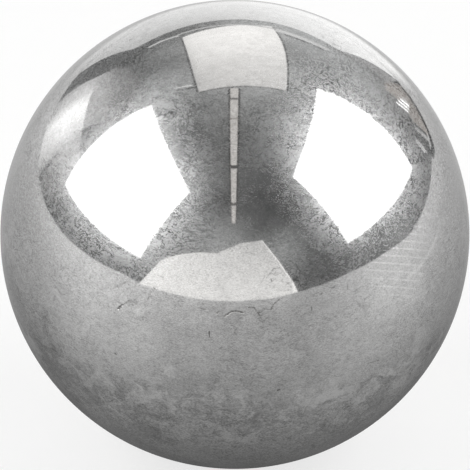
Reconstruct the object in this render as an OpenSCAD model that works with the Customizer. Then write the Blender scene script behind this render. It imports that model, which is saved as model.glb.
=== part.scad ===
// Steel ball: one solid sphere of hardened steel, ground and lapped to the same
// polish all over. It has no flat, hole, seam or mark.
// Millimetres, +Z up, with the origin at the centre of the ball.

/* [Ball] */
// Diameter of the ball. 25.4 is the common one-inch ball, and other sizes have the same form
ball_d = 25.4; // [1:0.1:150]

/* [Hidden] */
// The ball is a single piece, so it is the only node

// Segments round the ball where it is drawn as a mesh
ball_segments = 144;

// Light grey of bare, polished steel
steel_colour = [0.74, 0.74, 0.73];

// The ball: a true sphere about the origin, which rests on the single point at -ball_d / 2
module ball() {
    color(steel_colour)
        sphere(d = ball_d, $fn = ball_segments);
}

ball();
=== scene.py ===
# %% [markdown]
# # Steel ball
# A one-inch ball of hardened steel, as used in bearings and valves. It is one plain
# sphere, so nearly all of its look is what it mirrors and how its polish has worn.
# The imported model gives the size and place. Everything here is in metres, +Z up,
# with the origin at the centre of the ball.

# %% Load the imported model
import random
from math import asin, atan2, cos, degrees, hypot, log2, pi, radians, sin, tan

import bpy
from mathutils import Matrix, Vector, kdtree


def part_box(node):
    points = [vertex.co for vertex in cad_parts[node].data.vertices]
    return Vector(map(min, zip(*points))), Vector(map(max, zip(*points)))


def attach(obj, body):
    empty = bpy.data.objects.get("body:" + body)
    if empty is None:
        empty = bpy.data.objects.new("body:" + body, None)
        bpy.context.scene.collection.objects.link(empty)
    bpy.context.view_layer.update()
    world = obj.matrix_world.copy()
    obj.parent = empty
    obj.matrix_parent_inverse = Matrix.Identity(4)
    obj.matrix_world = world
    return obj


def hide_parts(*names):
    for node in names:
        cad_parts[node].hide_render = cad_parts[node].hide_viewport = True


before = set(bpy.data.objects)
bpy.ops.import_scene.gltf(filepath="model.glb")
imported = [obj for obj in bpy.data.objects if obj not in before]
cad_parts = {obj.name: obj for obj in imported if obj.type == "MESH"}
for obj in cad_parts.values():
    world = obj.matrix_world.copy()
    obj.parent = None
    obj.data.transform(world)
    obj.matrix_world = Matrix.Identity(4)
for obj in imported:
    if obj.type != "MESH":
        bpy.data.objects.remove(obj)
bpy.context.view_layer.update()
MM = 0.001
ball_low, ball_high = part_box("ball")
ball_radius = min((ball_high - ball_low)[i] for i in range(3)) / 2
floor_z = ball_low.z
print("ball radius", round(ball_radius / MM, 3), "mm, floor at", round(floor_z / MM, 3), "mm")

# %% [markdown]
# ## Camera
# The ball is looked at from half a metre away and 30 degrees above the bench. The lens
# is worked out from the angle the ball fills, so the outline just touches the frame.

# %% Camera
CAMERA_DISTANCE = 0.500
CAMERA_ELEVATION = radians(30.15)
CAMERA_ROLL = radians(0.95)
PICTURE_PX = 470
BALL_RADIUS_PX = 234.6
BALL_CENTRE_PX = (234.9, 234.35)

scene = bpy.context.scene
camera_data = bpy.data.cameras.new("camera")
camera = bpy.data.objects.new("camera", camera_data)
scene.collection.objects.link(camera)
scene.camera = camera
scene.view_settings.view_transform = "Standard"

half_ball_angle = asin(ball_radius / CAMERA_DISTANCE)
lens_px = BALL_RADIUS_PX / tan(half_ball_angle)
camera_data.sensor_width = 36
camera_data.lens = lens_px / PICTURE_PX * camera_data.sensor_width
camera_data.shift_x = (PICTURE_PX / 2 - BALL_CENTRE_PX[0]) / PICTURE_PX
camera_data.shift_y = (BALL_CENTRE_PX[1] - PICTURE_PX / 2) / PICTURE_PX
camera_data.clip_start = 0.01
camera_data.clip_end = 10
back = Vector((0, -cos(CAMERA_ELEVATION), sin(CAMERA_ELEVATION)))
turn = (-back).to_track_quat("-Z", "Y").to_matrix().to_4x4()
roll = Matrix.Rotation(CAMERA_ROLL, 4, "Z")
camera.matrix_world = Matrix.Translation(back * CAMERA_DISTANCE) @ turn @ roll
print("lens", round(camera_data.lens, 1), "mm")

# %% [markdown]
# ## The ball
# A real ball is cold-headed from wire, flashed, hardened and then lapped between plates
# until it is round to a micron. A UV sphere would give it two poles, where the faces
# crowd together. A cube that is subdivided and cast onto a sphere has faces of nearly
# one size all round, and that leaves an even mesh to press the nicks into.

# %% Ball blank
def deselect_all():
    if bpy.context.object and bpy.context.object.mode != "OBJECT":
        bpy.ops.object.mode_set(mode="OBJECT")
    bpy.ops.object.select_all(action="DESELECT")


deselect_all()
bpy.ops.mesh.primitive_cube_add(size=2 * ball_radius)
ball = bpy.context.object
ball.name = "steel_ball"
rounding = ball.modifiers.new("rounding", "SUBSURF")
rounding.levels = rounding.render_levels = 6
bpy.ops.object.modifier_apply(modifier="rounding")


def cast_on_sphere(name):
    lapping = ball.modifiers.new(name, "CAST")
    lapping.cast_type = "SPHERE"
    lapping.factor = 1.0
    lapping.use_radius_as_size = False
    lapping.size = ball_radius
    bpy.ops.object.modifier_apply(modifier=name)


cast_on_sphere("lapping")
bpy.ops.object.shade_smooth()
print("ball blank", len(ball.data.polygons), "faces")

# %% [markdown]
# ## Nicks
# Hardened steel hardly dents. Grit and hard edges leave nicks one to three hundredths of
# a millimetre deep, more where two meet: short gouges, dashes and pits. The faces round
# each nick are cut ten ways and cast back onto the sphere. Next to them are faces with
# many points on one side. Those are split into triangles, or they come out as slivers.
# Then the points on each nick's path are pressed in, and proportional editing lets the
# skin beside them follow. Booleans would leave long thin faces there, and a mirror shows
# those up at once.

# %% Where the nicks are
# depth in mm, width in mm, and the path as directions from the centre of the ball
NICKS = [
    (0.031, 0.112, [(-0.0372, -0.9837, 0.1757), (-0.0096, -0.9803, 0.1974), (0.0099, -0.9797, 0.2003),
     (0.0395, -0.9802, 0.1939)]),
    (0.023, 0.090, [(0.0629, -0.9745, 0.2152), (0.0836, -0.9726, 0.2169), (0.1101, -0.9779, 0.1779)]),
    (0.021, 0.083, [(0.1546, -0.9674, 0.2007), (0.1667, -0.9601, 0.2246), (0.1913, -0.9508, 0.2438)]),
    (0.031, 0.105, [(-0.1003, -0.9897, 0.1024), (-0.0983, -0.9921, 0.0777)]),
    (0.023, 0.105, [(-0.0690, -0.9797, 0.1882), (-0.0608, -0.9792, 0.1938)]),
    (0.016, 0.075, [(-0.1402, -0.9686, 0.2054), (-0.1150, -0.9732, 0.1989)]),
    (0.018, 0.090, [(-0.1296, -0.9655, 0.2260), (-0.1270, -0.9675, 0.2185)]),
    (0.016, 0.075, [(-0.2236, -0.9526, 0.2064), (-0.2185, -0.9555, 0.1981)]),
    (0.016, 0.075, [(0.1074, -0.9754, 0.1924), (0.1257, -0.9734, 0.1916)]),
    (0.021, 0.090, [(0.0591, -0.9907, 0.1231)]),
    (0.016, 0.068, [(-0.3194, -0.8931, 0.3169), (-0.2929, -0.9039, 0.3117)]),
    (0.018, 0.075, [(0.1532, -0.9311, 0.3309), (0.1567, -0.9340, 0.3211)]),
    (0.023, 0.075, [(0.3233, -0.9257, 0.1962), (0.3253, -0.9290, 0.1764)]),
    (0.018, 0.090, [(-0.3365, -0.9052, 0.2595), (-0.3298, -0.9085, 0.2567)]),
    (0.018, 0.090, [(-0.3480, -0.9051, 0.2442), (-0.3454, -0.9082, 0.2364)]),
    (0.016, 0.075, [(-0.3540, -0.9081, 0.2236), (-0.3551, -0.9108, 0.2106)]),
    (0.016, 0.068, [(0.4750, -0.8400, 0.2623), (0.4734, -0.8481, 0.2380)]),
    (0.031, 0.150, [(-0.4829, -0.8655, 0.1329), (-0.4663, -0.8711, 0.1545)]),
    (0.018, 0.075, [(-0.4663, -0.8711, 0.1545), (-0.4496, -0.8770, 0.1695), (-0.4371, -0.8805, 0.1834)]),
    (0.029, 0.135, [(-0.4937, -0.8654, -0.0853), (-0.4886, -0.8679, -0.0896)]),
    (0.026, 0.135, [(0.1911, -0.9625, -0.1925), (0.1978, -0.9619, -0.1888)]),
    (0.023, 0.120, [(0.6079, -0.7798, -0.1495), (0.6121, -0.7765, -0.1495)]),
    (0.013, 0.068, [(0.5653, -0.8120, -0.1452), (0.6079, -0.7800, -0.1484)]),
    (0.018, 0.075, [(0.3587, -0.9022, 0.2396), (0.3686, -0.8969, 0.2444)]),
    (0.016, 0.075, [(0.4042, -0.8776, 0.2579), (0.4187, -0.8700, 0.2605)]),
    (0.018, 0.105, [(0.8155, -0.5739, -0.0743), (0.8216, -0.5648, -0.0777)]),
    (0.013, 0.075, [(-0.4966, -0.8390, 0.2222), (-0.4391, -0.8582, 0.2661)]),
]
# the sides that face away have some more, placed by a seeded draw
FAR_NICKS = 18
seeded = random.Random(11)
placed = len(NICKS)
while len(NICKS) < placed + FAR_NICKS:
    start = Vector([seeded.gauss(0, 1) for _ in range(3)]).normalized()
    aside = start.cross(Vector([seeded.gauss(0, 1) for _ in range(3)])).normalized()
    if start.dot(back) < -0.1:
        reach = seeded.choice((0.004, 0.010, 0.022, 0.040))
        depth, width = seeded.uniform(0.016, 0.032), seeded.uniform(0.07, 0.14)
        NICKS.append((depth, width, [start, start + reach * aside]))
print(len(NICKS), "nicks, the deepest", round(max(nick[0] for nick in NICKS), 3), "mm")

# %% Finer faces round the nicks
STEP = 0.03 * MM
FINER_WITHIN = 0.26 * MM
CUTS = 9


def along(path):
    """Points on the ball, STEP apart, along a path of directions."""
    corners = [Vector(corner).normalized() * ball_radius for corner in path]
    points = corners[:1]
    for a, b in zip(corners, corners[1:]):
        count = max(1, round((b - a).length / STEP))
        points += [a.lerp(b, k / count).normalized() * ball_radius for k in range(1, count + 1)]
    return points


def close_to(places, points, reach):
    """Numbers of the places that lie within reach of any of the points."""
    tree = kdtree.KDTree(len(places))
    for k, at in enumerate(places):
        tree.insert(at, k)
    tree.balance()
    return {k for point in points for _, k, _ in tree.find_range(point, reach)}


def select(group, numbers):
    """Select only these vertices or faces of the ball."""
    for parts in (ball.data.vertices, ball.data.edges, ball.data.polygons):
        parts.foreach_set("select", [False] * len(parts))
    for k in numbers:
        group[k].select = True


def in_edit_mode(operator, **settings):
    bpy.ops.object.mode_set(mode="EDIT")
    operator(**settings)
    bpy.ops.object.mode_set(mode="OBJECT")


nick_points = [point for _, _, path in NICKS for point in along(path)]
centres = [face.center.copy() for face in ball.data.polygons]
select(ball.data.polygons, close_to(centres, nick_points, FINER_WITHIN))
bpy.context.tool_settings.mesh_select_mode = (False, False, True)
in_edit_mode(bpy.ops.mesh.subdivide, number_cuts=CUTS)
cast_on_sphere("lapping_again")
select(ball.data.polygons, [face.index for face in ball.data.polygons if len(face.vertices) > 4])
in_edit_mode(bpy.ops.mesh.quads_convert_to_tris, quad_method="BEAUTY", ngon_method="BEAUTY")
print("with finer faces", len(ball.data.polygons), "faces")

# %% Press the nicks in
# as shares of a nick's width: the half that is pressed, and how far the skin beside it follows
PRESSED, FOLLOWS = 0.26, 0.36
bpy.context.tool_settings.mesh_select_mode = (True, False, False)
corners = [vertex.co.copy() for vertex in ball.data.vertices]
for depth, width, path in NICKS:
    points = along(path)
    select(ball.data.vertices, close_to(corners, points, PRESSED * width * MM))
    inward = -points[len(points) // 2].normalized() * depth * MM
    in_edit_mode(bpy.ops.transform.translate, value=inward, use_proportional_edit=True,
                 proportional_edit_falloff="SMOOTH", proportional_size=FOLLOWS * width * MM)
bpy.ops.object.shade_smooth()
deepest = ball_radius - min(vertex.co.length for vertex in ball.data.vertices)
print("deepest point", round(deepest / MM, 4), "mm below the skin")

# %% Normals of the skin
# The skin between the nicks is ground and lapped, so its normals are those of a true sphere.
TRUE_SKIN = ball_radius - 0.0002 * MM
normals = [vertex.co.normalized() if vertex.co.length > TRUE_SKIN else vertex.normal.copy()
           for vertex in ball.data.vertices]
ball.data.normals_split_custom_set_from_vertices(normals)
print("true sphere at", sum(vertex.co.length > TRUE_SKIN for vertex in ball.data.vertices), "points")
print("ball has", sum(len(face.vertices) - 2 for face in ball.data.polygons), "triangles")


# %% [markdown]
# ## Node helpers
# A material is a tree of nodes. These short helpers add one node each and wire it.

# %% Node helpers
def add(tree, kind, wires=None, **settings):
    node = tree.nodes.new("ShaderNode" + kind)
    for name, value in settings.items():
        setattr(node, name, value)
    for name, value in (wires or {}).items():
        if isinstance(value, bpy.types.NodeSocket):
            tree.links.new(value, node.inputs[name])
        else:
            node.inputs[name].default_value = value
    return node


def maths(tree, operation, first, second=0.0, third=0.0):
    return add(tree, "Math", {0: first, 1: second, 2: third}, operation=operation).outputs[0]


def remap(tree, value, low, high, to_low=0.0, to_high=1.0, kind="SMOOTHSTEP"):
    wires = {"Value": value, "From Min": low, "From Max": high, "To Min": to_low, "To Max": to_high}
    return add(tree, "MapRange", wires, interpolation_type=kind).outputs["Result"]


def blend(tree, share, first, second):
    node = add(tree, "Mix", {"Factor": share}, data_type="RGBA")
    for socket, value in ((node.inputs[6], first), (node.inputs[7], second)):
        if isinstance(value, bpy.types.NodeSocket):
            tree.links.new(value, socket)
        else:
            socket.default_value = (*value, 1)
    return node.outputs[2]


def dot(tree, place, axis):
    wires = {0: place, 1: axis}
    return add(tree, "VectorMath", wires, operation="DOT_PRODUCT").outputs["Value"]


def new_material(name):
    material = bpy.data.materials.new(name)
    material.use_nodes = True
    material.node_tree.nodes.clear()
    return material, material.node_tree


# %% [markdown]
# ## Worn polish
# New, the ball is a mirror. In use its polish goes in four ways: a faint haze of lapping
# marks that glows next to a bright lamp, shallow folds and rubs in that hazy skin, a
# fine grain that dulls the mirror picture, and smudges of dried oil low down.
# The mirror is the metal itself, with a low roughness. The haze is the coat over it,
# with a high one, and the rubs shape only the coat's normal. So a lamp keeps its crisp
# edge in the mirror, while the haze beside it shows every rub in relief.

# %% Pattern helpers
def noise(tree, place, width, detail, warp):
    """Plain noise round 0.5, its largest blots about width mm across."""
    wires = {"Vector": place, "Scale": 1 / width, "Detail": detail, "Roughness": 0.60, "Distortion": warp}
    return add(tree, "TexNoise", wires).outputs["Fac"]


def clouds(tree, place, width, detail, warp):
    """Soft blots from -1 to 1."""
    return remap(tree, noise(tree, place, width, detail, warp), 0.3, 0.7, -1.0, 1.0, "LINEAR")


def folds(tree, place, width, line, detail, warp):
    """Winding lines: 1 along the line, and 1 along its lighter lower side."""
    away = maths(tree, "SUBTRACT", noise(tree, place, width, detail, warp), 0.5)
    dark = remap(tree, maths(tree, "ABSOLUTE", away), 0.0, line, 1.0, 0.0)
    beside = maths(tree, "ABSOLUTE", maths(tree, "SUBTRACT", away, 1.3 * line))
    return dark, remap(tree, beside, 0.0, line, 1.0, 0.0)


def distance(tree, place, spot):
    """How far away a spot on the ball is, in mm. The spot is given as a direction."""
    middle = Vector(spot).normalized() * ball_radius / MM
    return add(tree, "VectorMath", {0: place, 1: middle}, operation="DISTANCE").outputs["Value"]


def rubs(tree, place, centre, axis, gap, line, reach):
    """Parallel hairlines, gap mm apart, in a round patch that reaches reach mm."""
    across = dot(tree, place, Vector(axis).normalized())
    nearest = maths(tree, "PINGPONG", across, gap / 2)
    lines = remap(tree, nearest, 0.0, line, 1.0, 0.0)
    patch = remap(tree, distance(tree, place, centre), 0.5 * reach, reach, 1.0, 0.0)
    return maths(tree, "MULTIPLY", lines, patch)


def scratch(tree, place, start, end, line, amount):
    """One straight hairline from a direction to another: pale, or dark if amount is negative."""
    a, b = Vector(start).normalized(), Vector(end).normalized()
    reach = 0.75 * (b - a).length * ball_radius / MM
    alone = 2 * ball_radius / MM
    return maths(tree, "MULTIPLY", rubs(tree, place, a + b, a.cross(b), alone, line, reach), amount)


def dab(tree, place, turned, height, reach, amount):
    """One dab that darkens or lightens the tone: amount at its middle, fading to 0 at reach mm."""
    flat = (1 - height * height) ** 0.5
    spot = (flat * sin(radians(turned)), -flat * cos(radians(turned)), height)
    return remap(tree, distance(tree, place, spot), 0.25 * reach, reach, amount, 0.0)


def stretched(tree, place, scale):
    """Space scaled along x, y and z: patterns read there come out stretched the other way."""
    return add(tree, "VectorMath", {0: place, 1: scale}, operation="MULTIPLY").outputs[0]


def by_height(tree, height, stops):
    """A value that follows (height, value) stops, highest first."""
    total = stops[0][1]
    for (h0, v0), (h1, v1) in zip(stops, stops[1:]):
        total = maths(tree, "ADD", remap(tree, height, h1, h0, v1 - v0, 0.0), total)
    return total


# %% [markdown]
# ## Steel
# The patterns are worked out in millimetres on the ball, so a blot of 1.6 is 1.6 mm
# across. A wrapped picture would bunch up at two poles. Patterns read straight from
# space have none. Most are read in space squeezed upward, since this ball was rolled
# and wiped round its upright axis and its marks lie level. Bent and ragged space is
# pushed about by noise, so that borders read there come out torn.

# %% Steel
STEEL = (0.585, 0.583, 0.577)
BENT_BY, RAGGED_BY = 1.6, 3.0
steel, tree = new_material("worn_steel")
out = add(tree, "OutputMaterial")
skin = {"Metallic": 1.0, "Coat Roughness": 0.34, "Coat IOR": 2.6}
bsdf = add(tree, "BsdfPrincipled", skin)
tree.links.new(bsdf.outputs["BSDF"], out.inputs["Surface"])
metres = add(tree, "TexCoord").outputs["Object"]
place = stretched(tree, metres, (1 / MM, 1 / MM, 1 / MM))
rolled = stretched(tree, place, (1, 1, 2.3))
upright = stretched(tree, place, (1, 1, 0.45))
height = dot(tree, place, (0, 0, MM / ball_radius))
bend = add(tree, "TexNoise", {"Vector": place, "Scale": 0.9, "Detail": 4.0}).outputs["Color"]
bend = add(tree, "VectorMath", {0: bend, 1: (0.5, 0.5, 0.5)}, operation="SUBTRACT").outputs[0]
wires = {0: bend, 1: (RAGGED_BY, RAGGED_BY, RAGGED_BY), 2: place}
ragged = add(tree, "VectorMath", wires, operation="MULTIPLY_ADD").outputs[0]
ragged_height = dot(tree, ragged, (0, 0, MM / ball_radius))
wires = {0: bend, 1: (BENT_BY, BENT_BY, BENT_BY), 2: place}
bent = add(tree, "VectorMath", wires, operation="MULTIPLY_ADD").outputs[0]
brushed = stretched(tree, bent, (1, 1, 3.0))
print("steel: patterns in mm on the ball, height from -1 to 1")

# %% [markdown]
# ## Folds in the haze
# Wear has creased the hazy skin into winding lines, each dark with a lighter side. The
# deep ones lie about a millimetre apart, the fine ones closer. They are about a micron
# deep. The mesh would need millions of faces for that, so they are a bump on the coat.
# In the calm spots the skin is smoother.

# %% Folds in the haze
patches = clouds(tree, place, 1.6, 3.0, 0.6)
strokes = clouds(tree, brushed, 0.45, 3.5, 0.2)
# calm spots: a direction, near and far in mm, and how much of the folding is left
CALM = [
    ((0.05, -0.75, 0.66), 1.6, 4.4, 0.30), ((-0.66, -0.26, 0.70), 1.6, 3.8, 0.25),
    ((-0.062, -0.512, 0.857), 0.5, 2.0, 0.35), ((-0.66, -0.36, 0.66), 1.0, 3.0, 0.40),
    ((-0.03, -0.20, 0.98), 1.6, 4.0, 0.45),
]
calm = remap(tree, clouds(tree, place, 2.4, 2.0, 0.5), -0.6, 0.3, 0.45, 1.1)


def spot_level(spot, near, far, level):
    """level within near mm of a spot on the ball, 1 beyond far mm."""
    return remap(tree, distance(tree, place, spot), near, far, level, 1.0)


for spot, near, far, level in CALM:
    calm = maths(tree, "MULTIPLY", calm, spot_level(spot, near, far, level))
creased = maths(tree, "MULTIPLY", calm, remap(tree, patches, -0.40, 0.30))
deep, deep_side = folds(tree, rolled, 1.0, 0.035, 2.5, 0.5)
deep = maths(tree, "MULTIPLY", deep, creased)
deep_side = maths(tree, "MULTIPLY", deep_side, creased)
fine, fine_side = folds(tree, stretched(tree, bent, (1, 1, 2.2)), 0.42, 0.085, 1.5, 0.3)
fine = maths(tree, "MULTIPLY", fine, calm)
fine_side = maths(tree, "MULTIPLY", fine_side, calm)
crinkles = clouds(tree, rolled, 0.22, 1.5, 0.8)
relief = maths(tree, "MULTIPLY", crinkles, 0.25)
relief = maths(tree, "MULTIPLY_ADD", fine, -0.45, relief)
relief = maths(tree, "MULTIPLY_ADD", deep, -1.0, relief)
FOLD_DEPTH = 0.0013 * MM
wires = {"Height": relief, "Distance": FOLD_DEPTH, "Strength": 1.0}
tree.links.new(add(tree, "Bump", wires).outputs["Normal"], bsdf.inputs["Coat Normal"])
print("folds up to", round(FOLD_DEPTH / MM * 1000, 1), "microns deep,", len(CALM), "calm spots")

# %% [markdown]
# ## Grain
# Up close the mirror picture has a fine grain, a tenth of a millimetre wide. It is
# faintest on top and strongest low down, where dirt sits longest.

# %% Grain
grain = clouds(tree, rolled, 0.11, 2.0, 0.0)
GRAIN = [
    (0.97, 0.03), (0.93, 0.05), (0.90, 0.13), (0.82, 0.26), (0.60, 0.26), (0.30, 0.20),
    (0.15, 0.28), (-0.25, 0.30), (-0.40, 0.58),
]
grain = maths(tree, "MULTIPLY", grain, remap(tree, calm, 0.1, 0.7, 0.55, 1.0))
grain_strength = by_height(tree, height, GRAIN)
print("grain from", GRAIN[0][1], "on top to", GRAIN[-1][1], "low down")

# %% [markdown]
# ## Haze
# The haze is thicker in some places than in others. Each pattern takes its share by
# multiplying, so a fold stays dark under any patch. A soft upper limit holds the bright
# side down. Without it the haze beside a lamp breaks up into white specks. Toward the
# outline the haze thins out, as a lapped skin seen flat mirrors nearly everything.

# %% Haze
haze = remap(tree, patches, -0.8, 0.8, 0.80, 1.06)
blots = clouds(tree, rolled, 0.50, 3.0, 0.7)
HAZE_GRAIN = [(0.95, 0.65), (0.88, 1.10), (0.55, 1.0), (0.40, 0.72)]
haze_grain = maths(tree, "MULTIPLY", grain, by_height(tree, height, HAZE_GRAIN))
HAZE_PATTERNS = [
    (blots, 0.14), (haze_grain, 0.44), (strokes, 0.28), (deep, -0.80), (fine, -0.50),
    (deep_side, 0.36), (fine_side, 0.30),
]
for pattern, share in HAZE_PATTERNS:
    haze = maths(tree, "MULTIPLY", haze, maths(tree, "MULTIPLY_ADD", pattern, share, 1.0))
# spots with more or less haze, in the same order
HAZE_SPOTS = [
    ((0.155, -0.80, 0.58), 1.0, 3.4, 0.78), ((-0.338, -0.839, 0.427), 0.6, 2.4, 1.30),
    ((0.655, -0.666, 0.355), 0.6, 2.4, 0.70), ((-0.55, -0.33, 0.77), 0.8, 2.8, 0.80),
    ((-0.131, -0.678, 0.723), 1.2, 4.0, 0.84), ((0.421, -0.822, 0.384), 0.6, 2.4, 0.82),
    ((0.33, -0.777, 0.54), 0.6, 1.8, 1.20), ((0.624, -0.229, 0.747), 1.0, 3.4, 1.22),
    ((0.187, -0.847, 0.497), 0.6, 2.2, 0.76), ((0.19, -0.58, 0.79), 0.6, 2.4, 1.15),
    ((-0.205, -0.690, 0.690), 0.8, 2.6, 1.18),
]
for spot, near, far, level in HAZE_SPOTS:
    haze = maths(tree, "MULTIPLY", haze, spot_level(spot, near, far, level))
HAZE_LIMIT, LIMIT_SOFTNESS, FLAT_HAZE = 1.20, 0.6, 0.15
haze = maths(tree, "SMOOTH_MIN", haze, HAZE_LIMIT, LIMIT_SOFTNESS)
facing = add(tree, "LayerWeight", {"Blend": 0.5}).outputs["Facing"]
haze = maths(tree, "MULTIPLY", haze, remap(tree, facing, 0.55, 1.0, 1.0, FLAT_HAZE))
tree.links.new(haze, bsdf.inputs["Coat Weight"])
print("haze from", len(HAZE_PATTERNS), "patterns and", len(HAZE_SPOTS), "spots")

# %% [markdown]
# ## Roughness
# The mirror's roughness hardly varies. In a nick the skin is torn, so it is far rougher
# there. How far a point lies below the true sphere tells where the nicks are, so the
# roughness and the painted shade in them always sit there and no mask has to be painted.

# %% Roughness, and how sunk the skin is
radius = add(tree, "VectorMath", {0: place}, operation="LENGTH").outputs["Value"]
sunk = remap(tree, maths(tree, "SUBTRACT", ball_radius / MM, radius), 0.003, 0.010)
POLISH, POLISH_VARIES, NICK_ROUGHER = 0.044, 0.006, 0.25
roughness = maths(tree, "MULTIPLY_ADD", patches, POLISH_VARIES, POLISH)
roughness = maths(tree, "MULTIPLY_ADD", sunk, NICK_ROUGHER, roughness)
tree.links.new(roughness, bsdf.inputs["Roughness"])
print("mirror roughness", POLISH, "plus or minus", POLISH_VARIES, "and", NICK_ROUGHER, "more in a nick")

# %% [markdown]
# ## Streaks, smudges and hairlines
# Dried oil and old rubs change only the tone, and so do painted shade and light. There
# are level streaks, broad mottles, and a ragged band round the lower third with smudges
# and strands in it. That band is also darkened as painted shade, where the ball mirrors
# the edge of the floor's shadow, and below it the tone darkens toward the foot as painted
# shade of the shadowed floor under the ball. The folds are painted in too, each line
# darker and its side lighter: painted shade and highlight. There are two spots of dried
# cleaner, patches of hairlines where the ball slid on something, and a few single
# scratches. Noise alone spreads smudges evenly, and real ones gather. So single dabs are
# listed: degrees round from the front, height, reach in mm and amount. Some are smudges;
# the dark ones low on the left are painted shade of the floor's shadow mirrored there.
# The painted shade in a nick is told by how far it lies below the true sphere.

# %% Streaks, smudges and hairlines
tone = maths(tree, "MULTIPLY", grain, grain_strength)
STREAKS = [(0.30, 0.04), (0.15, 0.16), (-0.40, 0.14)]
streaks = maths(tree, "MULTIPLY", strokes, remap(tree, patches, -0.5, 0.4, 0.2, 1.3))
tone = maths(tree, "MULTIPLY_ADD", streaks, by_height(tree, height, STREAKS), tone)
mottles = clouds(tree, ragged, 3.0, 2.5, 0.5)
MOTTLES = [(0.30, 0.04), (0.15, 0.18)]
tone = maths(tree, "MULTIPLY_ADD", mottles, by_height(tree, height, MOTTLES), tone)
# the low band sets in between the first two heights and ends between the last two
BAND_TOP, BAND_FULL, BAND_FADES, BAND_FOOT = -0.15, -0.26, -0.46, -0.56
smudge_and_shade_band = remap(tree, ragged_height, BAND_TOP, BAND_FULL)
smudge_and_shade_band = maths(tree, "MULTIPLY", smudge_and_shade_band, remap(tree, ragged_height, BAND_FOOT, BAND_FADES))
smudges = clouds(tree, ragged, 2.0, 3.0, 1.2)
tone = maths(tree, "MULTIPLY_ADD", smudges, maths(tree, "MULTIPLY_ADD", smudge_and_shade_band, 0.46, 0.06), tone)
strands = folds(tree, upright, 0.55, 0.05, 3.0, 1.5)[0]
tone = maths(tree, "MULTIPLY_ADD", maths(tree, "MULTIPLY", strands, smudge_and_shade_band), 0.14, tone)
# painted shade: the band is darkened where the ball mirrors the edge of the floor's shadow
tone = maths(tree, "MULTIPLY_ADD", smudge_and_shade_band, -0.05, tone)
# painted shade: the tone darkens toward the foot, where the ball mirrors the shadowed floor under it
PAINTED_FOOT_SHADE = [(-0.42, 0.0), (-0.58, -0.09)]
tone = maths(tree, "ADD", by_height(tree, height, PAINTED_FOOT_SHADE), tone)
# painted shade and highlight of the folds: each fold's line darkens the base colour, its lighter side
# brightens it, and the strokes lighten it
fold_shade_and_highlight = maths(tree, "MULTIPLY_ADD", deep, -0.20, maths(tree, "MULTIPLY", deep_side, 0.08))
fold_shade_and_highlight = maths(tree, "MULTIPLY_ADD", fine, -0.06, fold_shade_and_highlight)
fold_shade_and_highlight = maths(tree, "MULTIPLY_ADD", strokes, 0.10, fold_shade_and_highlight)
# round this spot the skin has cracked, and the painted shade and highlight of its folds are far stronger
CRACKED_SPOT = (0.216, -0.915, 0.341)
fold_shade_and_highlight = maths(tree, "MULTIPLY", fold_shade_and_highlight, spot_level(CRACKED_SPOT, 0.4, 1.2, 8.0))
FOLD_SHADE_BY_HEIGHT = [(0.96, 0.15), (0.91, 1.0), (0.46, 1.0), (0.41, 0.15), (0.0, 0.30)]
tone = maths(tree, "MULTIPLY_ADD", fold_shade_and_highlight, by_height(tree, height, FOLD_SHADE_BY_HEIGHT), tone)
# painted shade in part: the dark dabs low on the left, near -50 degrees, darken the tone where the ball
# mirrors the floor's shadow; the others lighten or darken the tone in spots
DABS = [
    (-53, -0.33, 1.9, -0.30), (-47, -0.40, 1.7, -0.12), (-51, -0.20, 1.4, -0.14),
    (-52, -0.46, 1.4, -0.14), (-22, -0.50, 1.7, -0.16), (-24, -0.43, 1.5, -0.14),
    (-7, -0.37, 2.0, -0.16), (1, -0.32, 2.0, -0.16), (-35, -0.36, 1.9, -0.18),
    (14, -0.28, 2.0, -0.12), (-15, -0.29, 1.1, -0.10), (-68, -0.08, 1.8, -0.12),
    (-45, -0.27, 1.8, -0.12), (-16, -0.46, 1.3, 0.16), (-14, -0.37, 1.0, 0.12),
    (3, -0.47, 1.4, 0.14), (14, -0.42, 1.3, 0.12), (-21, -0.07, 2.2, 0.12),
    (-40, -0.27, 1.3, -0.10), (-37, -0.38, 1.5, -0.12), (-55, -0.05, 1.8, -0.22),
    (-54, -0.12, 1.3, -0.10), (-56, -0.56, 1.7, -0.15), (-34, -0.50, 1.6, -0.12),
    (9, -0.36, 1.6, -0.10), (-26, -0.36, 1.0, 0.10), (-9, -0.54, 0.7, 0.14), (-38, 0.05, 4.0, 0.04),
    (42, 0.10, 3.5, 0.05), (-25, -0.10, 4.4, 0.16), (31, 0.02, 4.4, 0.09), (31, -0.20, 3.6, 0.13),
    (8, 0.0, 4.0, -0.04), (-22, -0.22, 1.3, -0.14), (-15, -0.20, 1.2, -0.13),
    (-5, -0.18, 1.4, -0.15), (4, -0.19, 1.3, -0.13), (21, -0.20, 1.6, -0.18),
    (-4, -0.38, 1.2, -0.12), (-50, -0.02, 2.0, -0.10), (-40, -0.44, 1.4, -0.10),
    (-32, 0.29, 1.6, -0.10), (21, 0.25, 2.0, -0.14),
]
for spot in DABS:
    tone = maths(tree, "ADD", dab(tree, ragged, *spot), tone)
# two spots of dried cleaner, rounder than the smudges
for spot in ((-23.6, 0.149, 0.45, 0.20), (-8.7, -0.481, 0.40, 0.16)):
    tone = maths(tree, "ADD", dab(tree, place, *spot), tone)
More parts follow.
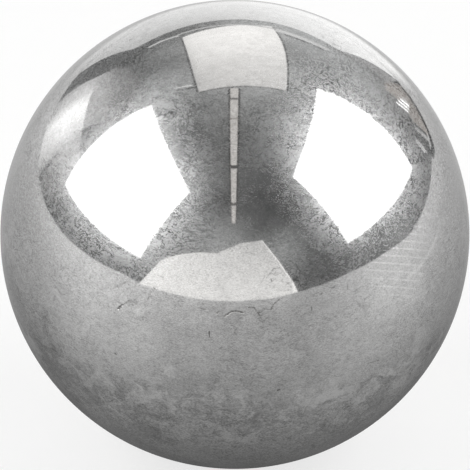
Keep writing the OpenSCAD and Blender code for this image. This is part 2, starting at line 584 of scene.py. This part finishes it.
# where the hairlines are, the direction across them, and in mm: their gap, half width
# and how far they reach (the second gap is so wide that one line is left)
HAIRLINE_TONE = 0.22
combs = [((0.701, -0.659, 0.272), (-0.052, 0.591, 0.805), 0.405, 0.075, 2.9),
         ((0.797, -0.550, 0.227), (0.4752, -0.5591, 0.6793), 10.678, 0.12, 2.8)]
seeded = random.Random(7)
for _ in range(5):
    turned = seeded.uniform(0.35, 1.65) * pi
    middle = (sin(turned), -cos(turned), seeded.uniform(-0.6, 0.8))
    axis = (seeded.uniform(-1, 1), seeded.uniform(-1, 1), seeded.uniform(0.5, 1))
    combs.append((middle, axis, seeded.uniform(0.3, 0.6), 0.05, seeded.uniform(1.2, 2.2)))
for comb in combs:
    tone = maths(tree, "MULTIPLY_ADD", rubs(tree, place, *comb), HAIRLINE_TONE, tone)
# single scratches: start and end as directions, half width in mm and amount
SCRATCHES = [
    ((-0.669, -0.743, 0.018), (-0.623, -0.776, -0.098), 0.09, -0.10),
    ((0.134, -0.933, 0.335), (0.163, -0.915, 0.370), 0.06, -0.34),
    ((0.163, -0.915, 0.370), (0.187, -0.910, 0.371), 0.05, -0.30),
    ((0.133, -0.943, 0.306), (0.170, -0.929, 0.328), 0.05, -0.26),
    ((0.194, -0.912, 0.362), (0.177, -0.900, 0.398), 0.05, -0.24),
    ((0.216, -0.924, 0.316), (0.237, -0.927, 0.290), 0.05, -0.26),
    ((0.149, -0.922, 0.357), (0.174, -0.924, 0.340), 0.05, -0.22),
    ((0.112, -0.942, 0.315), (0.128, -0.931, 0.343), 0.05, -0.20),
]
for row in SCRATCHES:
    tone = maths(tree, "ADD", scratch(tree, place, *row), tone)
tone = remap(tree, tone, -0.5, 0.5, 0.0, 1.0, "LINEAR")
colour = blend(tree, tone, tuple(0.5 * c for c in STEEL), tuple(1.5 * c for c in STEEL))
# painted shade: the nicks turn near black in the base colour, the more the deeper they are sunk
NICK_SHADE, NICK_SHADE_COVERS = (0.09, 0.085, 0.08), 0.9
colour = blend(tree, maths(tree, "MULTIPLY", sunk, NICK_SHADE_COVERS), colour, NICK_SHADE)
tree.links.new(colour, bsdf.inputs["Base Color"])

ball.data.materials.clear()
ball.data.materials.append(steel)
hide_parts("ball")
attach(ball, "root")
print("steel:", len(tree.nodes), "nodes,", len(DABS), "dabs,", len(combs), "patches of hairlines")

# %% [markdown]
# ## The stage
# A mirror shows the whole room, so the room matters as much as the ball. It has a white
# paper floor that curls at its near border, a paper rise behind, two soft boxes, an
# overhead cloth on a boom, two white cards in front, a window, a grey screen and a
# basket. Nearly all are plain sheets that glow as brightly as they look. A number for
# each corner, kept as an attribute on the mesh, says how bright, so the light falls off
# along the sheet. Lit cloth and paper would do the same with real lamps, but the mirror
# shows their render noise at once.

# %% Sheets of light
def glow_material(name, colour, lamp=False, mottle=0.0, stretch=(1, 1, 1), turned=0.0):
    material, tree = new_material(name)
    material.cycles.emission_sampling = "AUTO" if lamp else "NONE"
    out = add(tree, "OutputMaterial")
    light = add(tree, "Attribute", attribute_name="light").outputs["Fac"]
    if mottle:
        place = add(tree, "TexCoord").outputs["Object"]
        turning = {"Vector": place, "Angle": radians(turned)}
        place = add(tree, "VectorRotate", turning, rotation_type="Z_AXIS").outputs[0]
        cloth = clouds(tree, stretched(tree, place, stretch), 0.08, 3.0, 1.0)
        light = maths(tree, "MULTIPLY", light, maths(tree, "MULTIPLY_ADD", cloth, mottle, 1.0))
    glow = add(tree, "Emission", {"Color": (*colour, 1), "Strength": light})
    tree.links.new(glow.outputs["Emission"], out.inputs["Surface"])
    return material


def set_light(mesh, values):
    """Writes how bright each point of a mesh is."""
    mesh.attributes.new("light", "FLOAT", "POINT").data.foreach_set("value", values)


def light_sheet(name, rows, material, mirrored=True, lights=True):
    """A sheet from rows of (x, y, z, light), every row as long as the first."""
    wide = len(rows[0])
    points = [point for row in rows for point in row]
    faces = [(r * wide + c, r * wide + c + 1, (r + 1) * wide + c + 1, (r + 1) * wide + c)
             for r in range(len(rows) - 1) for c in range(wide - 1)]
    mesh = bpy.data.meshes.new(name)
    mesh.from_pydata([point[:3] for point in points], [], faces)
    set_light(mesh, [point[3] for point in points])
    mesh.materials.append(material)
    sheet = bpy.data.objects.new(name, mesh)
    scene.collection.objects.link(sheet)
    sheet.visible_camera = False
    sheet.visible_glossy = mirrored
    sheet.visible_diffuse = lights
    sheet.visible_shadow = False
    return sheet


def toward(azimuth, elevation, far, light=1.0):
    """The point that far from the ball: azimuth 0 is behind it, 90 to its right."""
    az, el = radians(azimuth), radians(elevation)
    flat = far * cos(el)
    return (flat * sin(az), flat * cos(az), far * sin(el), light)


def ribbon(name, points, width, light, far, upright=False):
    """A narrow sheet along (azimuth, elevation) points, width degrees wide."""
    rows = []
    for half in (-width / 2, width / 2):
        aside, above = (half, 0) if upright else (0, half)
        rows.append([toward(az + aside, el + above, far, light) for az, el in points])
    light_sheet(name, rows, white)


def strips(name, rows, shares, far, material):
    """A sheet of strips side by side: each has its light and its points, and the same
    shares of that light along them."""
    light_sheet(name, [[toward(az, el, far, light * share) for (az, el), share in zip(points, shares)]
                       for light, points in rows], material)


def between(stops, value):
    """Straight lines through (value, result) stops."""
    if value <= stops[0][0]:
        return stops[0][1]
    for (v0, r0), (v1, r1) in zip(stops, stops[1:]):
        if value <= v1:
            return r0 + (r1 - r0) * (value - v0) / (v1 - v0)
    return stops[-1][1]


white = glow_material("white_light", (1, 1, 1))
lamp_cloth = glow_material("lamp_cloth", (1, 1, 1), lamp=True)

# %% [markdown]
# ## Paper floor
# The camera sees white paper with the ball's soft shadow on it. The mirror needs the same
# floor without render noise, or the ball's fine grain is lost in it. So the floor is in
# two sheets: the paper itself, and a glowing copy that only the mirror sees, darker where
# the ball and the light it blocks make the floor darker.

# %% Paper floor
SHEET_LEFT, SHEET_RIGHT, SHEET_FRONT, SHEET_BEND = -0.33, 0.29, -0.25, 0.42
CLEAN_SHARE = 0.72
paper, tree = new_material("paper")
out = add(tree, "OutputMaterial")
fibres = add(tree, "TexNoise", {"Scale": 900.0, "Detail": 3.0}).outputs["Fac"]
pale = blend(tree, fibres, (0.89, 0.89, 0.885), (0.91, 0.91, 0.905))
sheet = add(tree, "BsdfDiffuse", {"Color": pale})
clean = add(tree, "Emission", {"Color": (1, 1, 1, 1), "Strength": 1.0})
seen = add(tree, "MixShader", {0: CLEAN_SHARE, 1: sheet.outputs[0], 2: clean.outputs[0]})
rays = add(tree, "LightPath")
both = add(tree, "MixShader", {0: rays.outputs["Is Camera Ray"], 1: sheet.outputs[0], 2: seen.outputs[0]})
tree.links.new(both.outputs[0], out.inputs["Surface"])
rows = [[(x, y, floor_z, 1.0) for x in (SHEET_LEFT, SHEET_RIGHT)] for y in (SHEET_FRONT, SHEET_BEND)]
floor = light_sheet("paper_floor", rows, paper, mirrored=False)
floor.visible_camera = True
floor.visible_shadow = True


# %% Floor that the mirror sees
# distances from under the ball are in octaves: 0 is one ball radius out, 1 is two, 2 is four
BASE = [(-1.7, 0.08), (-0.4, 0.20), (0.6, 0.37), (1.6, 0.45), (2.8, 0.45), (4.0, 0.54)]
# where more light or shade falls: azimuth, sharpness and amount
LIT_SIDES = [(-112, 3.5, 1.0), (95, 6, 1.0)]
LIT_BACK = [(0, 2, 0.15)]
SHADED_SIDES = [(-74, 6, 1.3), (68, 6, 1.5), (-30, 8, 0.4)]
# and how each changes outward
SIDE_GAIN = [(-0.4, 0.0), (0.6, 0.01), (1.6, 0.18), (2.8, 0.33), (4.0, 0.28)]
BACK_GAIN = [(0.6, 0.0), (2.0, 1.0)]
SHADE = [(0.2, 0.25), (4.0, 0.0)]
# the paper goes over into the rise from here on, by azimuth, and only between its sides
RISE_START = [(-18, 3.3), (-13, 3.05), (-6, 2.75), (0, 2.45), (8, 2.45), (16, 2.8)]
RISE_SIDES = [(-26, 0.0), (-22, 1.0), (22, 1.0), (26, 0.0)]


def strongest(lobes, azimuth):
    return max(amount * max(0.0, cos(radians(azimuth - middle))) ** sharpness
               for middle, sharpness, amount in lobes)


def floor_light(radius, azimuth):
    """How bright the paper is, by the distance from under the ball and the direction."""
    octave = log2(radius / ball_radius)
    light = between(BASE, octave) + strongest(LIT_SIDES, azimuth) * between(SIDE_GAIN, octave)
    light += strongest(LIT_BACK, azimuth) * between(BACK_GAIN, octave)
    light *= 1 - strongest(SHADED_SIDES, azimuth) * between(SHADE, octave)
    start = between(RISE_START, azimuth)
    lit = between([(start, 0.0), (start + 0.5, 1.0)], octave) * between(RISE_SIDES, azimuth)
    return light + lit * (between(RISE_LIGHT, azimuth) - light)


RISE_Y = 0.52
# how bright the rise is at its foot and at its top, by azimuth
RISE_LIGHT = [(-24, 0.82), (-16, 0.93), (-8, 1.02), (0, 1.12), (8, 1.22), (16, 1.28), (24, 1.30)]
RISE_TOP_LIGHT = [(-24, 0.78), (-16, 0.76), (-8, 0.88), (0, 0.98), (8, 1.08), (16, 1.18), (24, 1.28)]
MIRROR_LIFT = 0.02 * MM
rings = [0.02] + [2 ** (k / 3) for k in range(-5, 17)]
rows = []
for ring in rings:
    row = []
    for az in range(-180, 181, 3):
        x = ring * ball_radius * sin(radians(az))
        y = ring * ball_radius * cos(radians(az))
        x = max(SHEET_LEFT, min(SHEET_RIGHT, x))
        y = max(SHEET_FRONT, min(RISE_Y, y))
        row.append((x, y, floor_z + MIRROR_LIFT, floor_light(ring * ball_radius, az)))
    rows.append(row)
light_sheet("floor_in_mirror", rows, white, lights=False)
print("floor light", [round(row[0][3], 2) for row in rows[::4]])

# %% [markdown]
# ## Curl at the near border
# Paper off a roll never lies quite flat. In the ball its near border is the line where
# the floor ends, and each centimetre of lift moves that line by whole degrees. A strip
# stands on the border, as tall at each place as the paper lifts there: x, y, lift in mm.

# %% Curl at the near border
CURL = [
    (-0.33, 0.20, 0.0), (-0.33, 0.146, 2.2), (-0.33, 0.072, 4.5), (-0.33, 0.002, 5.1),
    (-0.33, -0.074, 8.9), (-0.33, -0.146, 9.5), (-0.33, -0.226, 13.0), (-0.32, -0.25, 12.5),
    (-0.26, -0.25, 6.0), (-0.24, -0.25, 4.0), (-0.204, -0.25, 4.9), (-0.148, -0.25, 5.4),
    (-0.109, -0.25, 4.7), (-0.048, -0.25, 4.0), (-0.012, -0.25, 4.8), (0.022, -0.25, 6.4),
    (0.058, -0.25, 7.1), (0.096, -0.25, 8.4), (0.115, -0.25, 10.1), (0.144, -0.25, 13.2),
    (0.165, -0.25, 13.4), (0.176, -0.25, 14.9), (0.221, -0.25, 16.2), (0.282, -0.25, 19.2),
    (0.29, -0.193, 21.7), (0.29, -0.123, 19.5), (0.29, -0.063, 18.0), (0.29, 0.015, 8.5),
    (0.29, 0.075, 10.1), (0.29, 0.136, 10.5), (0.29, 0.205, 8.5), (0.29, 0.285, 3.1),
    (0.29, 0.33, 0.0),
]
rows = []
for share in (0, 1):
    row = []
    for x, y, lift in CURL:
        light = floor_light(hypot(x, y), degrees(atan2(x, y)))
        row.append((x, y, floor_z + share * lift * MM, light))
    rows.append(row)
light_sheet("paper_curl", rows, white)
print("paper curls up by", max(lift for _, _, lift in CURL), "mm")

# %% [markdown]
# ## Paper rise
# Behind the ball the paper goes up to a bar. A real sweep is curved, but the ball shows
# only its outline and how it is lit. So it is an upright sheet with that outline, given
# as azimuth and elevation seen from the ball.

# %% Paper rise behind
RISE_EDGE = [
    (-25.7, -1.3), (-25.6, 1.0), (-25.4, 3.4), (-25.3, 6.3), (-25.3, 9.9), (-25.2, 13.1),
    (-25.1, 15.8), (-24.9, 18.0), (-23.8, 19.2), (-22.0, 19.5), (-18.9, 19.7), (-15.9, 20.0),
    (-9.2, 19.9), (0.0, 19.5), (7.0, 19.0), (15.4, 18.9), (20.0, 18.9), (22.8, 18.6), (24.2, 17.4),
    (24.6, 13.5), (25.0, 10.6), (25.4, 7.9), (25.7, 5.5), (26.0, 3.0), (26.1, -1.3),
]
# the height at which the rise has all of its top light
RISE_FULL = RISE_Y * tan(radians(18.5))


def on_rise(az, share, el):
    """A point that share of the way up the rise at azimuth az, where its top is at el."""
    across = RISE_Y * tan(radians(az))
    top = RISE_Y / cos(radians(az)) * tan(radians(el))
    low, high = between(RISE_LIGHT, az), between(RISE_TOP_LIGHT, az)
    height = floor_z + share * (top - floor_z)
    return (across, RISE_Y, height, low + (high - low) * max(0.0, height / RISE_FULL) ** 1.5)


rows = [[on_rise(az, share, el) for az, el in RISE_EDGE] for share in (0, 0.25, 0.5, 0.75, 1)]
light_sheet("paper_rise", rows, white)
print("rise up to", max(el for _, el in RISE_EDGE), "degrees")

# %% [markdown]
# ## Bar and strut
# The bar that holds the paper is lit on its underside and dark on top, and one strut of
# the left lamp stand leans in from the side. Each side that shows is a narrow ribbon.

# %% Bar over the rise
ribbon("bar_left", [(-24.3, 24.6), (-20.3, 25.1), (-16.0, 26.5)], 1.4, 0.85, 0.8)
ribbon("bar_middle", [(-16.0, 25.6), (-6.0, 25.4), (4.0, 25.0), (11.0, 25.0)], 1.0, 0.68, 0.8)
ribbon("bar_right", [(9.5, 25.8), (13.4, 25.8), (18.5, 25.4), (24.2, 23.8)], 2.6, 0.92, 0.8)
ribbon("bar_shade", [(12.5, 28.0), (18.5, 27.6), (24.0, 26.0)], 1.0, 0.14, 0.79)
ribbon("strut", [(-48.6, 57.8), (-40.0, 63.3)], 0.9, 1.30, 0.8)
ribbon("strut_shade", [(-50.1, 59.4), (-39.9, 65.8)], 0.9, 0.04, 0.8)
print("bar at 25 degrees up, strut at 60")

# %% [markdown]
# ## Grey screen
# A grey screen leans against the right end of the rise. Without it the gap between the
# rise and the basket would mirror as a black wedge.

# %% Grey screen beside the rise
SCREEN = [
    (21.8, 19.6), (24.2, 17.6), (24.8, 13.6), (25.4, 10.6), (25.8, 7.9), (26.1, 5.4), (26.5, 2.8),
    (26.6, -0.6),
]
SCREEN_TOP = [
    (24.4, 20.4), (25.5, 18.8), (27.0, 17.6), (27.9, 15.5), (28.9, 13.3), (30.1, 11.8), (31.5, 10.3),
    (33.0, 9.4),
]
strips("grey_screen", [(0.45, SCREEN), (0.34, SCREEN_TOP)], [1.0] * len(SCREEN), 0.8, white)
print("screen from azimuth", SCREEN[0][0], "to", SCREEN_TOP[-1][0])

# %% [markdown]
# ## Window
# Daylight comes in on the left, past the soft box. The glass is bright in the middle,
# and the wall beside and above it fades. Each strip goes up the wall and has one light,
# which is weaker near the sill. The frame over it is made of level strips.

# %% Window
WINDOW = [
    (0.72, [(-33.4, -2.4), (-33.6, 4.0), (-34.8, 12.0), (-35.0, 16.0)]),
    (0.97, [(-38.5, -2.4), (-39.2, 4.0), (-40.5, 10.0), (-41.0, 17.5)]),
    (1.74, [(-43.0, -2.6), (-44.5, 3.2), (-46.5, 10.5), (-47.5, 19.5)]),
    (1.34, [(-50.0, -2.6), (-52.5, 4.6), (-54.5, 11.5), (-55.5, 20.8)]),
    (0.66, [(-56.5, -2.6), (-59.5, 5.0), (-62.0, 12.0), (-63.5, 21.0)]),
    (0.46, [(-60.0, -2.6), (-64.5, 5.0), (-70.0, 12.0), (-72.0, 20.0)]),
    (0.32, [(-67.0, -2.6), (-76.0, 4.0), (-84.0, 9.0), (-88.0, 13.0)]),
]
strips("window", WINDOW, [0.64, 0.84, 1.0, 0.99], 0.9, white)
FRAME = [
    (0.69, [(-34.9, 15.2), (-41.2, 16.9), (-47.5, 19.4), (-56.0, 20.9), (-61.0, 20.8)]),
    (0.61, [(-34.4, 18.0), (-40.0, 21.5), (-46.8, 25.5), (-57.5, 27.5), (-62.0, 26.0)]),
    (0.39, [(-34.1, 20.5), (-38.5, 25.0), (-45.0, 31.5), (-57.0, 33.0), (-64.0, 31.0)]),
    (0.19, [(-33.8, 22.0), (-35.0, 28.0), (-43.0, 40.0), (-57.0, 43.0), (-69.0, 39.0)]),
]
strips("window_frame", FRAME, [0.92, 1.0, 1.02, 0.98, 0.84], 0.95, white)
# painted shade: a dark wedge, wide at the foot, stands between the glass and the wall
SILL_SHADE = [
    (0.14, [(-57.4, -2.2), (-58.4, 1.0), (-59.2, 4.1), (-60.0, 8.2)]),
    (0.20, [(-61.8, -1.8), (-60.9, 1.5), (-60.4, 5.0), (-60.3, 8.4)]),
]
strips("sill_shade", SILL_SHADE, [1.9, 1.2, 1.0, 1.3], 0.88, white)
print("window brightest at", max(light for light, _ in WINDOW))

# %% [markdown]
# ## Basket
# A small wicker basket stands on the paper, right of the ball and close to it. Most of
# its weave blurs to brown. A few canes catch the light.

# %% Basket on the table
wood = glow_material("basket_wood", (1.0, 0.93, 0.87))
BASKET = [
    (0.58, [(35.1, 12.7), (36.9, 13.8), (39.0, 15.0)]),
    (0.54, [(31.7, 6.5), (35.4, 9.6), (39.3, 12.3)]),
    (0.51, [(29.0, 0.6), (35.5, 6.2), (40.7, 10.1)]),
    (0.46, [(30.1, -1.2), (37.0, 4.4), (42.4, 8.2)]),
    (0.43, [(32.8, -1.4), (38.8, 3.2), (44.5, 6.9)]),
    (0.48, [(36.2, -1.4), (40.1, 1.2), (43.7, 3.4)]),
    (0.56, [(40.6, -2.5), (41.2, -2.0), (41.9, -1.4)]),
]
strips("basket", BASKET, [0.62, 1.02, 1.0], 0.19, wood)
# the rows with little light are painted shade in the gaps between the bright canes
CANES_AND_SHADED_GAPS = [
    ((38.6, 8.9), (38.3, 5.0), 3.0), ((40.4, 10.9), (40.3, 6.6), 3.0),
    ((42.5, 13.0), (42.1, 7.8), 2.4), ((39.5, 9.8), (39.3, 5.8), 0.1),
    ((41.4, 12.0), (41.2, 7.0), 0.1), ((37.0, 7.0), (36.8, 4.1), 0.9),
    ((53.5, 8.8), (53.0, 3.8), 0.9), ((52.2, 7.8), (51.8, 2.5), 0.9),
]
for k, (top, foot, light) in enumerate(CANES_AND_SHADED_GAPS):
    ribbon(f"basket_stripe_{k}", (top, foot), 0.9, light, 0.18 + 0.001 * (light < 1), upright=True)
ribbon("basket_rim", ((47.0, 7.0), (46.0, 3.7), (43.7, -1.5)), 1.5, 0.62, 0.185, upright=True)
# painted shadow: a dark ribbon on the paper along the foot of the basket
BASKET_SHADOW_LINE = [(29.9, 1.6), (31.2, 0.1), (33.4, -0.7), (37.0, -1.2), (40.8, -2.3), (45.0, -2.3), (50.0, -0.3)]
ribbon("basket_shadow", BASKET_SHADOW_LINE, 2.0, 0.04, 0.182)
print("basket of", len(CANES_AND_SHADED_GAPS), "canes, 0.19 m away")

# %% [markdown]
# ## Soft boxes
# Each box is a fabric front half a metre wide. In the mirror it is far past white, and
# that is what makes the haze beside it glow. The floor needs less light than that. So a
# box is two sheets in one place: a bright one for the mirror, a dimmer one for the rest.

# %% Soft boxes
BOX_SHINE, BOX_LIGHT = 7.6, 3.2
LEFT_BOX = ((-0.348, -0.118, 0.260), (0.15303, -0.98817, 0.01000), (-0.47602, -0.08258, -0.87555))
RIGHT_BOX = ((0.358, -0.023, 0.272), (-0.00200, 0.99671, -0.08098), (0.51493, -0.06839, -0.85450))
HALF_HIGH = 0.1935
EDGE_SHADE = [(1.0, 0.20), (0.96, 0.24), (0.90, 1.0)]
STOPS = [-share for share, _ in EDGE_SHADE] + [share for share, _ in reversed(EDGE_SHADE)]
for side, (centre, across, down), half_wide in (("left", LEFT_BOX, 0.2485), ("right", RIGHT_BOX, 0.2455)):
    centre, across, down = Vector(centre), Vector(across), Vector(down)
    for use, power in (("shine", BOX_SHINE), ("light", BOX_LIGHT)):
        rows = []
        for d in STOPS:
            row = []
            for a in STOPS:
                point = centre + across * a * half_wide + down * d * HALF_HIGH
                shade = between(EDGE_SHADE[::-1], max(abs(a), abs(d)))
                row.append((*point, power * shade))
            rows.append(row)
        mirrored, lights = use == "shine", use == "light"
        light_sheet(f"soft_box_{side}_{use}", rows, lamp_cloth, mirrored, lights)
print("soft boxes", 2 * HALF_HIGH, "m high, light", BOX_SHINE, "in the mirror and", BOX_LIGHT, "on the floor")

# %% [markdown]
# ## Overhead cloth
# A white cloth hangs level over the table and sends light straight down. It is
# brightest at its far end, and its front hangs in shade. Its seams show as dark lines
# along three sides. The rows run from the front to the back.

# %% Overhead cloth
OVERHEAD_Z = 0.5
overhead = glow_material("overhead_cloth", (1, 0.985, 0.97), mottle=0.07, stretch=(1, 4, 1), turned=-25)
# each row: its left and right ends as x, y, and its light, which falls off toward the front
ROWS = [
    (-0.135, 0.137, 0.175, 0.171, 0.88),
    (-0.160, 0.300, 0.178, 0.320, 0.98),
    (-0.190, 0.500, 0.178, 0.500, 1.22),
    (-0.221, 0.700, 0.172, 0.760, 1.36),
    (-0.246, 0.860, 0.162, 1.170, 1.33),
]
# along a row the light falls off toward the left border
ALONG = [(0.0, 0.86), (0.10, 1.0), (0.60, 1.07), (1.0, 1.04)]
rows = [[(x0 + (x1 - x0) * a, y0 + (y1 - y0) * a, OVERHEAD_Z, light * share) for a, share in ALONG]
        for x0, y0, x1, y1, light in ROWS]
light_sheet("overhead_panel", rows, overhead)
SEAM_GAP, SEAM_WIDE, SEAM_LIGHT = 0.002, 0.007, 0.05
for name, column, out in (("left", 0, -1), ("right", 2, 1)):
    shifts = [out * (SEAM_GAP + w) for w in (0, SEAM_WIDE)]
    rows = [[(row[column] + shift, row[column + 1], OVERHEAD_Z, SEAM_LIGHT) for shift in shifts]
            for row in ROWS]
    light_sheet(f"overhead_seam_{name}", rows, white)
x0, y0, x1, y1, _ = ROWS[0]
rows = [[(x, y - SEAM_GAP - w, OVERHEAD_Z, SEAM_LIGHT) for x, y in ((x0, y0), (x1, y1))]
        for w in (0, 0.6 * SEAM_WIDE)]
light_sheet("overhead_seam_front", rows, white)
print("overhead cloth", round(ROWS[0][2] - ROWS[0][0], 2), "m wide,", OVERHEAD_Z, "m up")

# %% [markdown]
# ## Boom
# A pale tube in five lengths carries the cloth. Between the lengths are dark joints. A
# wider dark tube right above it gives the thin dark outline that the shaded sides of a
# round tube have.

# %% Boom that carries the cloth
BOOM_X = -0.008


def boom_part(name, colour, light, radius, length, y, z=0.4, mottle=0.0):
    deselect_all()
    bpy.ops.mesh.primitive_cylinder_add(vertices=24, radius=radius, depth=length,
                                        location=(BOOM_X, y, z), rotation=(pi / 2, 0, 0))
    tube = bpy.context.object
    bpy.ops.object.transform_apply(location=True, rotation=True, scale=True)
    tube.name = name
    set_light(tube.data, [light] * len(tube.data.vertices))
    tube.data.materials.append(glow_material(name, colour, mottle=mottle, stretch=(12, 3, 12)))
    tube.visible_camera = False


BOOM_BACK, BOOM_FRONT = 0.107, -0.550
boom_long, boom_middle = BOOM_BACK - BOOM_FRONT, (BOOM_BACK + BOOM_FRONT) / 2
boom_part("boom", (1, 0.965, 0.93), 0.84, 0.0114, boom_long, boom_middle, mottle=0.24)
boom_part("boom_shade", (1, 0.85, 0.78), 0.01, 0.0172, boom_long + 0.004, boom_middle, z=0.41)
# the joints of the boom: where each is along y, its length and how dark it looks
RINGS = [(0.061, 0.006, 0.08), (-0.016, 0.005, 0.40), (-0.201, 0.014, 0.03), (-0.395, 0.016, 0.10)]
for k, (y, length, light) in enumerate(RINGS):
    boom_part(f"boom_ring_{k}", (1, 0.90, 0.85), light, 0.0132, length, y)

# %% [markdown]
# ## Cards in front
# Two white cards stand side by side in front of the ball, under the camera. They fill
# in its dark lower front. The left one has a rounded top, the right one slopes, and its
# cut edge catches the light. They are drawn by their outlines in one upright plane.

# %% Cards in front
CARD_Y = -0.5
card = glow_material("card", (1, 0.99, 0.978), mottle=0.05, stretch=(1, 1, 3))
# the left card: its left edge as across, up (shares of the card's distance) and light
CARD_JOINT, FADE_TO_JOINT = 0.164, 0.93
LEFT_CARD = [
    (1.030, -0.060, 1.28), (0.923, 0.050, 1.28), (0.859, 0.122, 1.26), (0.801, 0.190, 1.24),
    (0.740, 0.262, 1.20), (0.660, 0.307, 1.18), (0.521, 0.350, 1.16), (0.391, 0.375, 1.14),
    (0.318, 0.384, 1.12),
]


def on_card(u, w, light):
    return (u * CARD_Y, CARD_Y, -w * CARD_Y, light)


rows = [[on_card(u, w, light), on_card(CARD_JOINT, w, FADE_TO_JOINT * light)] for u, w, light in LEFT_CARD]
light_sheet("card_left", rows, card)
# the right card: both ends of each row, the light there, and how wide its bright cut edge shows
RIGHT_CARD = [
    ((0.164, -0.060, 1.10), (-0.605, -0.060, 1.12), 0.080),
    ((0.164, 0.000, 1.08), (-0.572, 0.000, 1.10), 0.040),
    ((0.164, 0.100, 1.06), (-0.530, 0.100, 1.05), 0.010),
    ((0.164, 0.200, 1.02), (-0.466, 0.202, 1.00), 0.010),
    ((0.164, 0.290, 0.99), (-0.415, 0.290, 0.93), 0.010),
    ((0.164, 0.380, 0.97), (-0.346, 0.394, 0.86), 0.010),
    ((0.055, 0.432, 0.95), (-0.312, 0.444, 0.82), 0.010),
    ((-0.055, 0.485, 0.93), (-0.264, 0.518, 0.80), 0.010),
]
CUT_EDGE_LIGHT, CUT_EDGE_SOFT = 1.5, 0.006
rows = []
for inner, (u, w, light), edge in RIGHT_CARD:
    rows.append([on_card(*inner), on_card(u + edge + CUT_EDGE_SOFT, w, light),
                 on_card(u + edge, w, CUT_EDGE_LIGHT), on_card(u, w, CUT_EDGE_LIGHT)])
light_sheet("card_right", rows, card)
print("cards", -CARD_Y, "m in front, the right one up to", round(-0.518 * CARD_Y, 3), "m")

# %% [markdown]
# ## The room
# The rest is a dim room. It is a big sphere, a little brighter where the lamps spill
# onto the ceiling and the walls. Outside is a white world, which only the camera sees.

# %% Room
ROOM_LIGHT, DARKEST, ROOM_RADIUS = 0.13, 0.03, 1.9
# each spill: its azimuth and elevation, how many degrees it reaches, and its light
SPILLS = [
    ((10, 70), 42, 0.16), ((26, 34), 34, 0.20), ((-56, 46), 22, 0.20), ((10, 22), 22, 0.30),
    ((100, 40), 45, 0.08), ((-105, 40), 45, 0.08), ((-172, 24), 24, 0.24), ((155, 21), 16, 0.26),
    ((-150, 30), 16, 0.24), ((-138, 13), 16, 0.20), ((-140, 48), 22, 0.18), ((35, 24), 24, 0.22),
    ((-42, 58), 20, 0.22), ((30, 60), 20, 0.28), ((92, 4), 20, 0.12), ((95, 66), 18, 0.22),
    ((-21, 36), 16, 0.20), ((0, 72), 22, 0.10), ((-80, 60), 18, 0.14), ((150, 45), 24, -0.09),
    ((134, 5), 16, -0.05), ((-172, 43), 16, -0.08),
]


def room_light(direction):
    light = ROOM_LIGHT
    for (az, el), reach, power in SPILLS:
        middle = Vector(toward(az, el, 1.0)[:3])
        angle = degrees(direction.angle(middle))
        light += power * max(0.0, cos(radians(90 * min(angle / reach, 1.0)))) ** 2
    return max(light, DARKEST)


deselect_all()
bpy.ops.mesh.primitive_uv_sphere_add(segments=96, ring_count=48, radius=ROOM_RADIUS, location=(0, 0, 0))
room = bpy.context.object
room.name = "room"
set_light(room.data, [room_light(vertex.co) for vertex in room.data.vertices])
room.data.materials.append(glow_material("room_walls", (0.98, 1, 1)))
room.visible_camera = False
print("room light", ROOM_LIGHT, "with", len(SPILLS), "spills")

world = bpy.data.worlds.new("white")
scene.world = world
world.use_nodes = True
world.node_tree.nodes["Background"].inputs["Color"].default_value = (1, 1, 1, 1)
world.node_tree.nodes["Background"].inputs["Strength"].default_value = 1.0
